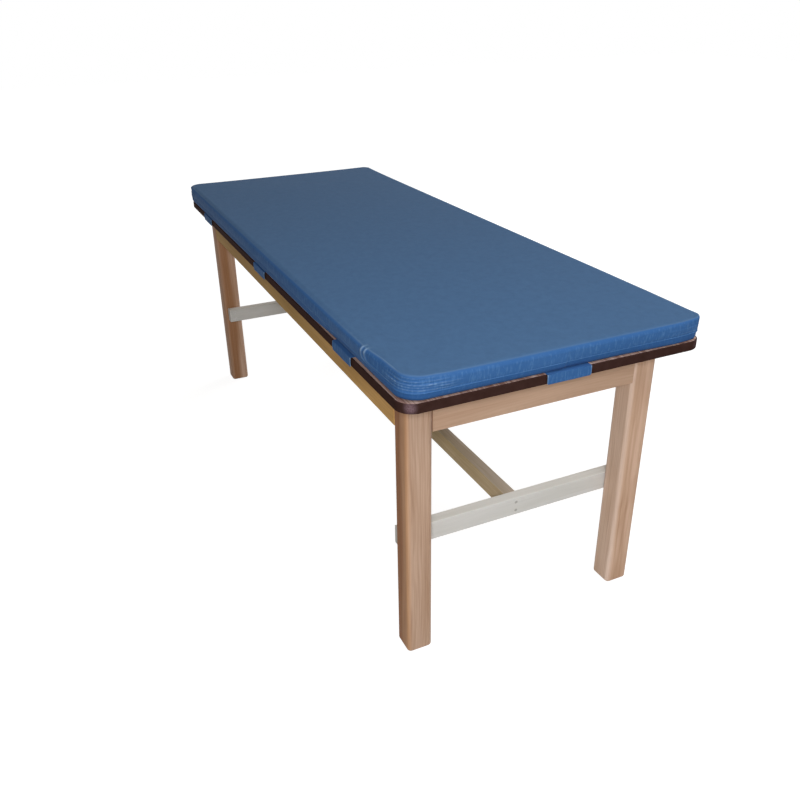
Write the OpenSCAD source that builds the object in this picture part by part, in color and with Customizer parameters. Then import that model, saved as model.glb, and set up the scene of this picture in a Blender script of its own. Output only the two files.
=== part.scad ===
// Treatment table: hardwood legs and aprons, an H-shaped brace, a laminate top with a moulded edge,
// and a loose padded mat that is held by eight straps over the edge.
// Origin on the floor under the middle of the top, +X to the front end, +Y to the left side, +Z up.

/* [Top] */
// Length of the top over its edge moulding
top_l = 1981; // [1600:1:2300]
// Width of the top over its edge moulding
top_w = 762; // [650:1:900]
// Corner radius of the top, seen from above
top_corner_r = 40; // [25:1:80]
// Thickness of the core board
core_t = 20.6; // [16:0.1:30]
// Thickness of the laminate sheet on the core
laminate_t = 0.8; // [0.6:0.1:1.5]
// Thickness of the backer sheet under the core
backer_t = 0.8; // [0.6:0.1:1.5]
// Thickness of the edge moulding
moulding_t = 3; // [2.6:0.1:6]
// Rounding of the moulding's outer edges
moulding_r = 2.2; // [1:0.1:2.4]
// Thickness of the moulding's tongue
tongue_t = 2; // [1.5:0.1:3]
// Depth of the moulding's tongue in the core
tongue_l = 9; // [6:0.5:12]

/* [Legs] */
// Height of the legs, up to the underside of the top
leg_h = 713.5; // [550:0.5:850]
// Side of a leg's square section
leg_s = 65; // [50:0.5:80]
// Rounding of a leg's long edges
leg_edge_r = 11; // [5:0.5:14]
// Rounding of the edges under a foot
foot_round = 7; // [2:0.5:8]
// How far the top stands out past the legs at each end
overhang_end = 89; // [40:1:140]
// How far the top stands out past the legs at each side
overhang_side = 48.5; // [20:0.5:80]

/* [Aprons] */
// Height of the aprons
apron_h = 105; // [80:1:140]
// Thickness of the aprons
apron_t = 22; // [18:0.5:28]
// How far the aprons stand back from the legs' outer faces
apron_inset = 1.5; // [0:0.5:5]
// Rounding of the edges of aprons and stretchers
board_ease = 2; // [1:0.5:4]
// Diameter of the dowels between aprons and legs
dowel_d = 9.5; // [6:0.5:12]
// Length of a dowel
dowel_l = 40; // [24:1:48]
// Distance between the two dowels of a joint
dowel_pitch = 52; // [30:1:60]
// Thickness of the cross rail under the middle of the top
rail_t = 22; // [18:0.5:30]
// Height of the cross rail
rail_h = 80; // [50:1:100]
// Height of the rail's tenons
tenon_h = 50; // [30:1:60]
// Thickness of the rail's tenons
tenon_t = 10; // [6:0.5:14]
// Length of the rail's tenons
tenon_l = 12; // [8:0.5:16]

/* [Brace] */
// Height of the brace's underside over the floor
brace_z = 270.5; // [150:0.5:350]
// Height of the end stretchers
end_stretcher_h = 50; // [40:0.5:70]
// Thickness of the end stretchers
end_stretcher_t = 30.5; // [22:0.5:40]
// Distance of an end stretcher's ends inside the legs' outer faces
end_stretcher_inset = 12; // [0:0.5:18]
// Height of the long stretcher
long_stretcher_h = 46.5; // [40:0.5:70]
// Thickness of the long stretcher
long_stretcher_t = 34; // [25:0.5:45]
// Distance between the two screws of a brace joint
brace_screw_pitch = 24; // [16:0.5:28]
// Depth of the brace screws in the long stretcher
brace_screw_bite = 59.5; // [30:0.5:80]
// Depth of the end stretchers' screws in the legs
leg_screw_bite = 29.5; // [15:0.5:45]

/* [Corner blocks] */
// Thickness of a corner block
block_t = 25; // [20:0.5:32]
// Height of a corner block
block_h = 70; // [55:1:75]
// How far a corner block stops under the top
block_drop = 12; // [4:1:20]
// Diameter of a hanger bolt
bolt_d = 8; // [6:0.5:10]
// Depth of a hanger bolt in the leg
bolt_depth = 34; // [20:1:38]
// Length of bolt past the nut
bolt_end = 6; // [2:1:12]
// Distance between the two screws in each end of a block
block_screw_pitch = 44; // [36:1:48]
// Depth of wood under the head of a block screw
block_screw_seat = 12; // [8:0.5:16]

/* [Hardware] */
// Shank diameter of the wood screws
screw_d = 4.5; // [3:0.5:5.5]
// Head diameter of the wood screws
screw_head_d = 8.5; // [6:0.5:10]
// Depth that the screws of blocks and brackets go into an apron or the top
screw_bite = 15; // [10:0.5:17]
// Length of each arm of an angle bracket
bracket_l = 30; // [20:1:40]
// Width of an angle bracket
bracket_w = 20; // [15:1:30]
// Sheet thickness of an angle bracket
bracket_t = 2.5; // [1.5:0.5:4]
// Distance of the side brackets from the legs
bracket_setback = 406.5; // [200:0.5:600]

/* [Mat] */
// How much longer the mat is than the top
mat_extra_l = 23; // [0:1:40]
// How much wider the mat is than the top
mat_extra_w = 3; // [0:1:20]
// Height of the mat at its rim
mat_rim_h = 54; // [35:0.5:90]
// Rise of the mat's crown over its rim
mat_crown = 2.5; // [1:0.5:12]
// Corner radius of the mat, seen from above
mat_corner_r = 38; // [20:1:90]
// How far the mat's sides draw in at the bottom edge
mat_draw = 14; // [6:0.5:20]
// Height of the seam around the mat
seam_h = 18.5; // [12:0.5:26]
// Thickness of the vinyl cover
vinyl_t = 1.2; // [0.8:0.1:2]
// How far the mat lies towards the rear end
mat_shift = 8; // [0:1:10]

/* [Straps] */
// Width of a strap
strap_w = 112; // [60:1:160]
// Thickness of a strap
strap_t = 1.2; // [0.8:0.1:2]
// Distance from the mat's end to the middle of the nearest side strap
strap_setback = 324; // [150:1:500]
// How far the end straps lie off the middle, to the left
end_strap_y = 8; // [-40:1:40]
// Length of a strap's root under the mat
strap_root_l = 60; // [30:1:120]
// Thickness of a hook patch or loop patch
patch_t = 0.8; // [0.5:0.1:1.5]
// Height of the patches
patch_h = 13; // [6:0.5:14]
// How far the patches stop short of the strap's sides
patch_margin = 6; // [2:0.5:20]

/* [Hidden] */
$fn = 64;

// Overrun of cuts past the faces that they go through
over = 1;
// Clearance around dowels, tenons, tongue and screws
fit_gap = 0.1;
// Clearance between pieces that move apart
soft_gap = 0.3;
// Clearance of a corner block to the leg's rounded edge
block_gap = 0.2;
// Washer and nut of the hanger bolts
washer_d = 18;
washer_t = 1.6;
nut_across_flats = 13;
nut_h = 6.5;
// Head heights of the wood screws
pan_head_h = 2.6;
flat_head_h = 2.8;
// How far a countersunk head lies under the wood's face
flat_head_sink = 0.4;
// Play of a screw's head in its counterbore
counterbore_gap = 1;

frame_l = top_l - 2 * overhang_end;
frame_w = top_w - 2 * overhang_side;
top_t = backer_t + core_t + laminate_t;
top_z = leg_h + top_t;
leg_x = frame_l / 2 - leg_s / 2;
leg_y = frame_w / 2 - leg_s / 2;
board_l = top_l - 2 * moulding_t;
board_w = top_w - 2 * moulding_t;
board_r = top_corner_r - moulding_t;
groove_h = tongue_t + 2 * fit_gap;
groove_d = tongue_l + fit_gap;
// Outer and inner faces of the aprons, as distances from the middle of the table
apron_out_x = frame_l / 2 - apron_inset;
apron_out_y = frame_w / 2 - apron_inset;
apron_in_x = apron_out_x - apron_t;
apron_in_y = apron_out_y - apron_t;
apron_mid_z = leg_h - apron_h / 2;
// Inner face of the legs, against which the end stretchers lie
lap_x = frame_l / 2 - leg_s;
bracket_x = lap_x - bracket_setback;
brace_screw_l = end_stretcher_t + brace_screw_bite;
leg_screw_l = end_stretcher_t + leg_screw_bite;
long_stretcher_l = 2 * (lap_x - end_stretcher_t);
brace_mid_z = brace_z + end_stretcher_h / 2;
// Along the diagonal from a leg's axis towards the middle of the table
leg_reach = (leg_s / 2 - leg_edge_r) * sqrt(2) + leg_edge_r;
block_near = leg_reach + block_gap;
block_far = block_near + block_t;
block_side = (leg_s / 2 - apron_inset - apron_t) * sqrt(2);
block_mid_z = leg_h - block_drop - block_h / 2;
block_screw_share = 0.35;
bracket_hole_share = 0.62;

// Profile of the mat's sides below and above the seam: shares of the way up, and of the full draw-in
lower_shares = [[0, 1], [0.15, 0.62], [0.41, 0.4], [0.76, 0.3]];
upper_shares = [[0.09, 0.22], [0.39, 0.08], [0.7, 0], [0.9, 0.02], [0.97, 0.12], [1, 0.36]];
// Draw-in of the seam ridge, as a share of the full draw-in
ridge_share = 0.12;
// Rings of the mat's top, as shares of half its width
crown_shares = [0.07, 0.18, 0.4, 0.75];
arc_steps = 6;
long_steps = 8;
short_steps = 4;
// Least corner radius of the inner rings
ring_r = 5;
mat_l = top_l + mat_extra_l;
mat_w = top_w + mat_extra_w;
strap_pitch = mat_l / 2 - strap_setback;
// The strap roots lie between the top and the mat
mat_z = top_z + soft_gap + strap_t + soft_gap;
mat_x = -mat_shift;
foam_gap = 0.3;
// A strap's fold, outwards from the moulding's face and up from the laminate
strap_in = 2 * patch_t + soft_gap;
fold_y = strap_in + strap_t / 2;
fold_z = soft_gap + strap_t / 2;
patch_w = strap_w - 2 * patch_margin;

wood = "BurlyWood";
pale_wood = "Beige";
steel = "Silver";
vinyl = "SteelBlue";

// Outline with round corners, centred
module round_rect(l, w, r) {
    square([l - 2 * r, w], center = true);
    square([l, w - 2 * r], center = true);
    for (x = [-1, 1], y = [-1, 1])
        translate([x * (l / 2 - r), y * (w / 2 - r)])
            circle(r = r);
}

// Board along X with rounded long edges, w wide in Y and h high in Z, centred
module board(l, w, h) {
    rotate([90, 0, 90])
        linear_extrude(l, center = true)
            round_rect(w, h, board_ease);
}

// Puts what is drawn for the front left corner at another corner
module corner(x, y) {
    mirror([x < 0 ? 1 : 0, 0, 0])
        mirror([0, y < 0 ? 1 : 0, 0])
            children();
}

// Frame on a leg's axis whose +X points to the middle of the table
module on_diagonal() {
    translate([leg_x, leg_y, 0])
        rotate([0, 0, 225])
            children();
}

// Round rod along +Z from z0 to z1
module rod(d, z0, z1) {
    translate([0, 0, z0])
        cylinder(d = d, h = z1 - z0);
}

// Screw along -Z with a pan head on the plane z = 0
module pan_screw(l) {
    rod(screw_d, -l, 0);
    rod(screw_head_d, 0, pan_head_h);
}

// Screw along -Z with a countersunk head just under the plane z = 0
module flat_screw(l) {
    rod(screw_d, -l, -flat_head_sink - flat_head_h);
    translate([0, 0, -flat_head_sink - flat_head_h])
        cylinder(d1 = screw_d, d2 = screw_head_d, h = flat_head_h);
}

// Hole for a countersunk screw
module flat_hole(l) {
    rod(screw_d + 2 * fit_gap, -l - fit_gap, over);
    translate([0, 0, -flat_head_sink - flat_head_h - fit_gap])
        cylinder(d1 = screw_d + 2 * fit_gap, d2 = screw_head_d + 2 * fit_gap, h = flat_head_h);
    rod(screw_head_d + 2 * fit_gap, -flat_head_sink - fit_gap, over);
}

// Legs

// Half section of a leg, w wide, with the rounded edge of its foot
module half_section(w) {
    difference() {
        square([w, leg_h]);
        translate([w - foot_round, -over]) difference() {
            square(foot_round + over);
            translate([0, foot_round + over])
                circle(r = foot_round);
        }
    }
}

// Leg on its own axis: round long edges and flat faces that share one rounding at the foot
module leg_post() {
    flat = leg_s / 2 - leg_edge_r;
    for (x = [-1, 1], y = [-1, 1])
        translate([x * flat, y * flat, 0])
            rotate_extrude()
                half_section(leg_edge_r);
    for (turn = [0, 90])
        rotate([90, 0, turn])
            linear_extrude(2 * flat, center = true) {
                half_section(leg_s / 2);
                mirror([1, 0])
                    half_section(leg_s / 2);
            }
}

module leg(x, y) {
    color(wood) corner(x, y) difference() {
        translate([leg_x, leg_y, 0]) leg_post();
        at_dowels() dowel(fit_gap);
        at_hanger() rod(bolt_d + 2 * fit_gap, -bolt_depth - fit_gap, over);
        at_leg_screws() flat_hole(leg_screw_l);
    }
}

// Aprons, cross rail and dowels

// Dowel along Z, with its middle in the joint, grown on all sides
module dowel(grow) {
    rod(dowel_d + 2 * grow, -dowel_l / 2 - grow, dowel_l / 2 + grow);
}

// The dowels of one leg's two apron joints
module at_dowels() {
    for (z = [-1, 1])
        translate([0, 0, apron_mid_z + z * dowel_pitch / 2]) {
            translate([leg_x - leg_s / 2, apron_out_y - apron_t / 2, 0])
                rotate([0, 90, 0])
                    children();
            translate([apron_out_x - apron_t / 2, leg_y - leg_s / 2, 0])
                rotate([90, 0, 0])
                    children();
        }
}

module all_corners() {
    for (x = [-1, 1], y = [-1, 1])
        corner(x, y)
            children();
}

module apron_cuts() {
    all_corners() {
        at_dowels() dowel(fit_gap);
        at_block_screws() rod(screw_d + 2 * fit_gap, -block_screw_seat - screw_bite - fit_gap, 0);
    }
    at_brackets() bracket_side_screw() rod(screw_d + 2 * fit_gap, -bracket_t - screw_bite - fit_gap, 0);
}

module apron_side(y) {
    color(wood) difference() {
        translate([0, y * (apron_out_y - apron_t / 2), apron_mid_z])
            board(frame_l - 2 * leg_s, apron_t, apron_h);
        apron_cuts();
        rail_tenons(fit_gap);
    }
}

module apron_end(x) {
    color(wood) difference() {
        translate([x * (apron_out_x - apron_t / 2), 0, apron_mid_z])
            rotate([0, 0, 90])
                board(frame_w - 2 * leg_s, apron_t, apron_h);
        apron_cuts();
    }
}

// Tenons of the cross rail, grown on all sides for the mortises
module rail_tenons(grow) {
    translate([0, 0, leg_h - rail_h / 2])
        cube([tenon_t + 2 * grow, 2 * (apron_in_y + tenon_l + grow), tenon_h + 2 * grow], center = true);
}

module cross_rail() {
    color(wood) {
        translate([0, 0, leg_h - rail_h / 2])
            cube([rail_t, 2 * apron_in_y, rail_h], center = true);
        rail_tenons(0);
    }
}

module apron_dowels() {
    color(pale_wood) all_corners() at_dowels() dowel(0);
}

// Brace

// The two screws of an end stretcher in the leg at the front left corner, driven from inside
module at_leg_screws() {
    for (z = [-1, 1])
        translate([lap_x - end_stretcher_t, leg_y, brace_mid_z + z * brace_screw_pitch / 2])
            rotate([0, -90, 0])
                children();
}

// The two screws from the front stretcher's outer face into the long stretcher
module at_brace_screws() {
    for (z = [-1, 1])
        translate([lap_x, 0, brace_mid_z + z * brace_screw_pitch / 2])
            rotate([0, 90, 0])
                children();
}

module end_stretcher(x) {
    color(pale_wood) mirror([x < 0 ? 1 : 0, 0, 0]) difference() {
        translate([lap_x - end_stretcher_t / 2, 0, brace_mid_z])
            rotate([0, 0, 90])
                board(frame_w - 2 * end_stretcher_inset, end_stretcher_t, end_stretcher_h);
        for (y = [0, 1])
            mirror([0, y, 0])
                at_leg_screws()
                    flat_hole(leg_screw_l);
        at_brace_screws() flat_hole(brace_screw_l);
    }
}

module stretcher_long() {
    color(wood) difference() {
        translate([0, 0, brace_z + long_stretcher_h / 2])
            board(long_stretcher_l, long_stretcher_t, long_stretcher_h);
        for (x = [0, 1])
            mirror([x, 0, 0])
                at_brace_screws()
                    flat_hole(brace_screw_l);
    }
}

module stretcher_leg_screws() {
    color(steel) all_corners() at_leg_screws() flat_screw(leg_screw_l);
}

module brace_screws() {
    color(steel)
        for (x = [0, 1])
            mirror([x, 0, 0])
                at_brace_screws()
                    flat_screw(brace_screw_l);
}

// Corner blocks

// Hanger bolt's axis, with z = 0 at the leg's rounded edge and +Z to the middle of the table
module at_hanger() {
    on_diagonal()
        translate([leg_reach, 0, block_mid_z])
            rotate([0, 90, 0])
                children();
}

// The four screws of a block, with z = 0 under the head and -Z into the apron
module at_block_screws() {
    near = block_near + block_screw_share * block_t;
    for (y = [0, 1], z = [-1, 1])
        on_diagonal()
            mirror([0, y, 0])
                translate([near, near + block_side, block_mid_z + z * block_screw_pitch / 2])
                    rotate([0, 90, -45])
                        translate([0, 0, block_screw_seat])
                            children();
}

module corner_block(x, y) {
    near_side = block_near + block_side;
    far_side = block_far + block_side;
    color(wood) corner(x, y) difference() {
        on_diagonal()
            translate([0, 0, block_mid_z - block_h / 2])
                linear_extrude(block_h)
                    polygon([
                        [block_near, -near_side], [block_far, -far_side],
                        [block_far, far_side], [block_near, near_side]
                    ]);
        at_hanger() rod(bolt_d + 2 * fit_gap, -over, block_t + block_gap + over);
        at_block_screws() {
            rod(screw_d + 2 * fit_gap, -block_screw_seat - over, over);
            rod(screw_head_d + counterbore_gap, 0, block_t * sqrt(2));
        }
    }
}

module hanger_bolts() {
    color(steel) all_corners() at_hanger()
        rod(bolt_d, -bolt_depth, block_gap + block_t + washer_t + nut_h + bolt_end);
}

module hanger_washers() {
    color(steel) all_corners() at_hanger() difference() {
        rod(washer_d, block_gap + block_t, block_gap + block_t + washer_t);
        rod(bolt_d + 2 * fit_gap, 0, block_gap + block_t + washer_t + over);
    }
}

module hanger_nuts() {
    seat = block_gap + block_t + washer_t;
    color(steel) all_corners() at_hanger() difference() {
        translate([0, 0, seat])
            cylinder(d = nut_across_flats / cos(30), h = nut_h, $fn = 6);
        rod(bolt_d + 2 * fit_gap, seat - over, seat + nut_h + over);
    }
}

module corner_block_screws() {
    color(steel) all_corners() at_block_screws() pan_screw(block_screw_seat + screw_bite);
}

// Top

// Plate with the outline of the board, less an inset
module plate(inset, t) {
    linear_extrude(t)
        round_rect(board_l - 2 * inset, board_w - 2 * inset, board_r - inset);
}

module top_core() {
    groove_z = (top_t - groove_h) / 2 - backer_t;
    color("Tan") difference() {
        translate([0, 0, leg_h + backer_t]) {
            plate(0, groove_z);
            translate([0, 0, groove_z])
                plate(groove_d, groove_h);
            translate([0, 0, groove_z + groove_h])
                plate(0, core_t - groove_z - groove_h);
        }
        at_brackets() bracket_top_screw() rod(screw_d + 2 * fit_gap, -bracket_t - screw_bite - fit_gap, 0);
    }
}

module top_laminate() {
    color("RosyBrown") translate([0, 0, top_z - laminate_t]) plate(0, laminate_t);
}

module top_backer() {
    color("Peru") difference() {
        translate([0, 0, leg_h])
            plate(0, backer_t);
        at_brackets() bracket_top_screw() rod(screw_d + 2 * fit_gap, -bracket_t - screw_bite - fit_gap, 0);
    }
}

// Section of the moulding: x outwards from the board's edge, y up from the top's underside
module moulding_section() {
    translate([-tongue_l, (top_t - tongue_t) / 2])
        square([tongue_l + moulding_t / 2, tongue_t]);
    difference() {
        translate([0, top_t / 2])
            round_rect(2 * moulding_t, top_t, moulding_r);
        translate([fit_gap - moulding_t - over, -over])
            square([moulding_t + over, top_t + 2 * over]);
    }
}

// Straight run of moulding along X, on an edge at y = edge
module moulding_run(l, edge) {
    translate([0, edge, 0])
        rotate([90, 0, 90])
            linear_extrude(l, center = true)
                moulding_section();
}

module edge_moulding() {
    color([0.2, 0.13, 0.13]) translate([0, 0, leg_h]) {
        for (turn = [0, 180])
            rotate([0, 0, turn]) {
                moulding_run(board_l - 2 * board_r, board_w / 2);
                rotate([0, 0, 90])
                    moulding_run(board_w - 2 * board_r, board_l / 2);
            }
        all_corners()
            translate([board_l / 2 - board_r, board_w / 2 - board_r, 0])
                rotate_extrude(angle = 90)
                    translate([board_r, 0])
                        moulding_section();
    }
}

// Angle brackets

// Inside corners between aprons and top, with +X to the middle of the table
module at_brackets() {
    for (x = [-1, 1], y = [0, 180])
        rotate([0, 0, y])
            translate([x * bracket_x, -apron_in_y, leg_h])
                rotate([0, 0, 90])
                    children();
    for (turn = [0, 180])
        rotate([0, 0, turn])
            translate([-apron_in_x, 0, leg_h])
                children();
}

// Screw axis in a bracket's arm on the apron
module bracket_side_screw() {
    translate([bracket_t, 0, -bracket_hole_share * bracket_l])
        rotate([0, 90, 0])
            children();
}

// Screw axis in a bracket's arm under the top
module bracket_top_screw() {
    translate([bracket_hole_share * bracket_l, 0, -bracket_t])
        rotate([180, 0, 0])
            children();
}

module top_brackets() {
    color(steel) at_brackets() difference() {
        union() {
            translate([0, -bracket_w / 2, -bracket_l])
                cube([bracket_t, bracket_w, bracket_l]);
            translate([0, -bracket_w / 2, -bracket_t])
                cube([bracket_l, bracket_w, bracket_t]);
        }
        bracket_side_screw() rod(screw_d + 2 * fit_gap, -bracket_t - over, over);
        bracket_top_screw() rod(screw_d + 2 * fit_gap, -bracket_t - over, over);
    }
}

module top_bracket_screws() {
    color(steel) at_brackets() {
        bracket_side_screw() pan_screw(bracket_t + screw_bite);
        bracket_top_screw() pan_screw(bracket_t + screw_bite);
    }
}

// Mat

// Points round a rounded rectangle, as many for every size, with steps along its straight sides
function corner_arc(l, w, r, turn) = [
    for (i = [0 : arc_steps])
        let (a = turn + 90 * i / arc_steps)
            [(l / 2 - r) * sign(cos(turn + 45)) + r * cos(a), (w / 2 - r) * sign(sin(turn + 45)) + r * sin(a)]
];
function between(a, b, steps) = [for (i = [1 : steps - 1]) a + (b - a) * i / steps];
function outline(l, w, r) = [
    for (k = [0 : 3])
        let (arc = corner_arc(l, w, r, 90 * k), next = corner_arc(l, w, r, 90 * k + 90))
            each concat(arc, between(arc[arc_steps], next[0], k % 2 == 0 ? long_steps : short_steps))
];
function mat_ring(inset, z) = [
    for (p = outline(mat_l - 2 * inset, mat_w - 2 * inset, max(mat_corner_r - inset, ring_r)))
        [p[0] + mat_x, p[1], mat_z + z]
];

// Rings of the mat's skin, or of a surface that lies e further in
function lower_rings(e) = [
    for (s = lower_shares)
        mat_ring(s[1] * mat_draw + e, e + s[0] * (seam_h - e))
];
function seam_ring(e) = mat_ring(ridge_share * mat_draw + e, seam_h);
function upper_rings(e) = [
    for (s = upper_shares)
        mat_ring(s[1] * mat_draw + e, seam_h + s[0] * (mat_rim_h - e - seam_h))
];
function crown_rings(e) = [
    for (s = crown_shares)
        mat_ring(s * mat_w / 2 + e, mat_rim_h - e + mat_crown * (1 - pow(1 - s, 2)))
];
function reversed(list) = [for (i = [len(list) - 1 : -1 : 0]) list[i]];
function middle(ring) = [for (k = [0 : 2]) (min([for (p = ring) p[k]]) + max([for (p = ring) p[k]])) / 2];

// Closed skin over a stack of rings, with a fan over the first and the last
module skin(rings) {
    n = len(rings[0]);
    m = len(rings);
    points = [for (ring = rings) each ring, middle(rings[0]), middle(rings[m - 1])];
    walls = [
        for (j = [0 : m - 2], i = [0 : n - 1])
            let (a = j * n + i, b = j * n + (i + 1) % n)
                each [[a, a + n, b + n], [a, b + n, b]]
    ];
    first = [for (i = [0 : n - 1]) [m * n, i, (i + 1) % n]];
    last = [for (i = [0 : n - 1]) [m * n + 1, (m - 1) * n + (i + 1) % n, (m - 1) * n + i]];
    polyhedron(points, concat(walls, first, last));
}

// Upper shell of the cover, from the seam over the crown
module mat_cover() {
    inside = concat([seam_ring(vinyl_t)], upper_rings(vinyl_t), crown_rings(vinyl_t));
    outside = concat([seam_ring(0)], upper_rings(0), crown_rings(0));
    color(vinyl) skin(concat(reversed(inside), outside));
}

// Lower shell of the cover: the bottom and the sides up to the seam
module mat_base() {
    inside = concat(lower_rings(vinyl_t), [seam_ring(vinyl_t)]);
    outside = concat(lower_rings(0), [seam_ring(0)]);
    color(vinyl) skin(concat(outside, reversed(inside)));
}

module mat_foam() {
    e = vinyl_t + foam_gap;
    color("Khaki") skin(concat(lower_rings(e), [seam_ring(e)], upper_rings(e), crown_rings(e)));
}

// Straps

// The moulding's face behind a strap, at the laminate's height, with +Y outwards
module at_side(y, step) {
    translate([mat_x + step * strap_pitch, y * top_w / 2, top_z])
        mirror([0, y < 0 ? 1 : 0, 0])
            children();
}

module at_end(x) {
    translate([x * top_l / 2, end_strap_y, top_z])
        rotate([0, 0, x > 0 ? -90 : 90])
            children();
}

module at_straps() {
    for (x = [-1, 1])
        at_end(x)
            children();
    for (y = [-1, 1], step = [-1 : 1])
        at_side(y, step)
            children();
}

// Strap from its rounded fold down to the moulding's lower edge
module strap() {
    color(vinyl) {
        translate([0, fold_y, fold_z])
            rotate([0, 90, 0])
                cylinder(d = strap_t, h = strap_w, center = true);
        translate([-strap_w / 2, strap_in, -top_t])
            cube([strap_w, strap_t, top_t + fold_z]);
    }
}

// Patch whose inner face lies at y, over the middle of the moulding
module patch(y) {
    color("DimGray")
        translate([-patch_w / 2, y, -(top_t + patch_h) / 2])
            cube([patch_w, patch_t, patch_h]);
}

module strap_root() {
    translate([-strap_w / 2, -strap_root_l, soft_gap])
        cube([strap_w, strap_root_l + strap_in - soft_gap, strap_t]);
}

module strap_roots() {
    color(vinyl) at_straps() strap_root();
}

module hook_patches() {
    at_straps() patch(0);
}

leg(1, -1);  // leg_front_right
leg(1, 1);  // leg_front_left
leg(-1, -1);  // leg_rear_right
leg(-1, 1);  // leg_rear_left
apron_end(1);  // apron_front
apron_end(-1);  // apron_rear
apron_side(-1);  // apron_right
apron_side(1);  // apron_left
cross_rail();
apron_dowels();
end_stretcher(1);  // stretcher_front
end_stretcher(-1);  // stretcher_rear
stretcher_long();
stretcher_leg_screws();
brace_screws();
corner_block(1, -1);  // corner_block_front_right
corner_block(1, 1);  // corner_block_front_left
corner_block(-1, -1);  // corner_block_rear_right
corner_block(-1, 1);  // corner_block_rear_left
hanger_bolts();
hanger_washers();
hanger_nuts();
corner_block_screws();
top_core();
top_laminate();
top_backer();
edge_moulding();
top_brackets();
top_bracket_screws();
mat_cover();
mat_base();
mat_foam();
strap_roots();
hook_patches();
at_end(1) strap();  // strap_front
at_end(-1) strap();  // strap_rear
at_side(-1, 1) strap();  // strap_right_front
at_side(-1, 0) strap();  // strap_right_middle
at_side(-1, -1) strap();  // strap_right_rear
at_side(1, 1) strap();  // strap_left_front
at_side(1, 0) strap();  // strap_left_middle
at_side(1, -1) strap();  // strap_left_rear
at_end(1) patch(patch_t + soft_gap);  // loop_patch_front
at_end(-1) patch(patch_t + soft_gap);  // loop_patch_rear
at_side(-1, 1) patch(patch_t + soft_gap);  // loop_patch_right_front
at_side(-1, 0) patch(patch_t + soft_gap);  // loop_patch_right_middle
at_side(-1, -1) patch(patch_t + soft_gap);  // loop_patch_right_rear
at_side(1, 1) patch(patch_t + soft_gap);  // loop_patch_left_front
at_side(1, 0) patch(patch_t + soft_gap);  // loop_patch_left_middle
at_side(1, -1) patch(patch_t + soft_gap);  // loop_patch_left_rear
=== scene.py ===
"""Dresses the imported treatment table: varnished wood, a wood-grain laminate top and a loose vinyl mat.

Sizes are in metres, in the table's own frame: +X to the front end, +Y to the left side, +Z up.
"""
import math

import bmesh
import bpy
import numpy as np
from mathutils import Matrix, Vector, noise


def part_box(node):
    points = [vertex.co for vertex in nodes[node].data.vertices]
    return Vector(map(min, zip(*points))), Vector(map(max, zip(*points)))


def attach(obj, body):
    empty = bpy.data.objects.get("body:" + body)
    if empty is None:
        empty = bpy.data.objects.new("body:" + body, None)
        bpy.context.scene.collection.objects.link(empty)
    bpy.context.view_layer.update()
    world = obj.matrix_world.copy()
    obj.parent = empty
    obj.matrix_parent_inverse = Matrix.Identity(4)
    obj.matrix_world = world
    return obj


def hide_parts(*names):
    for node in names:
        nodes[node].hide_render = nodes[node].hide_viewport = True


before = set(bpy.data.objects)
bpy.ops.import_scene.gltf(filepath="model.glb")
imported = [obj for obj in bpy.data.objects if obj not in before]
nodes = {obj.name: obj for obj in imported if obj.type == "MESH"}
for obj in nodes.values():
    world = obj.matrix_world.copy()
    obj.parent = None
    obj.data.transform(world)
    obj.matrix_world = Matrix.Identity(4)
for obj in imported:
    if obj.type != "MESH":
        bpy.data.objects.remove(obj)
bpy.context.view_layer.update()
bpy.ops.object.select_all(action="DESELECT")


# Legs.
# Four square hardwood posts with round long edges and eased feet, clear varnished, with the grain
# running up. The back corner of each one takes a hanger bolt.

def put(tree, kind, inputs={}, **settings):
    """A shader node with its settings, and its inputs as values or as links."""
    node = tree.nodes.new("ShaderNode" + kind)
    for name, value in settings.items():
        setattr(node, name, value)
    for name, value in inputs.items():
        if isinstance(value, bpy.types.NodeSocket):
            tree.links.new(value, node.inputs[name])
        else:
            node.inputs[name].default_value = value
    return node


def finish(name, **constants):
    """A new material, its tree and its shader, with the shader's own sockets set."""
    material = bpy.data.materials.new(name)
    material.use_nodes = True
    shader = material.node_tree.nodes["Principled BSDF"]
    for socket, value in constants.items():
        shader.inputs[socket.replace("_", " ")].default_value = value
    return material, material.node_tree, shader


def blend_colours(tree, share, first, second, way="MIX"):
    """A mix of two colours, each a value or a socket."""
    mix = tree.nodes.new("ShaderNodeMix")
    mix.data_type = "RGBA"
    mix.blend_type = way
    for socket, value in ((mix.inputs[0], share), (mix.inputs[6], first), (mix.inputs[7], second)):
        if isinstance(value, bpy.types.NodeSocket):
            tree.links.new(value, socket)
        else:
            socket.default_value = value
    return mix.outputs[2]


def band(tree, value, low, high):
    """value from low to high, as 0 to 1."""
    return put(tree, "MapRange", {"Value": value, "From Min": low, "From Max": high}).outputs[0]


def between(tree, share, least, most):
    """A share of 0 to 1, as a value from least to most."""
    return put(tree, "MapRange", {"Value": share, "To Min": least, "To Max": most}).outputs[0]


def times(tree, first, second):
    """The product of two numbers, each a value or a socket."""
    return put(tree, "Math", {0: first, 1: second}, operation="MULTIPLY").outputs[0]


def own_place(tree):
    """Where a point lies in its own piece's frame."""
    return put(tree, "TexCoord").outputs["Object"]


def axis_of(tree, vector, axis):
    """One coordinate of a vector."""
    return put(tree, "SeparateXYZ", {0: vector}).outputs[axis]


def mottling(tree, place, scale, detail, **more):
    """A cloudy pattern of 0 to 1."""
    return put(tree, "TexNoise", {"Vector": place, "Scale": scale, "Detail": detail, **more}).outputs[0]


def embossed(tree, height, strength, depth, **under):
    """A normal for the shader, pressed by a pattern of heights."""
    return put(tree, "Bump", {"Height": height, "Strength": strength, "Distance": depth, **under}).outputs[0]


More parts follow.
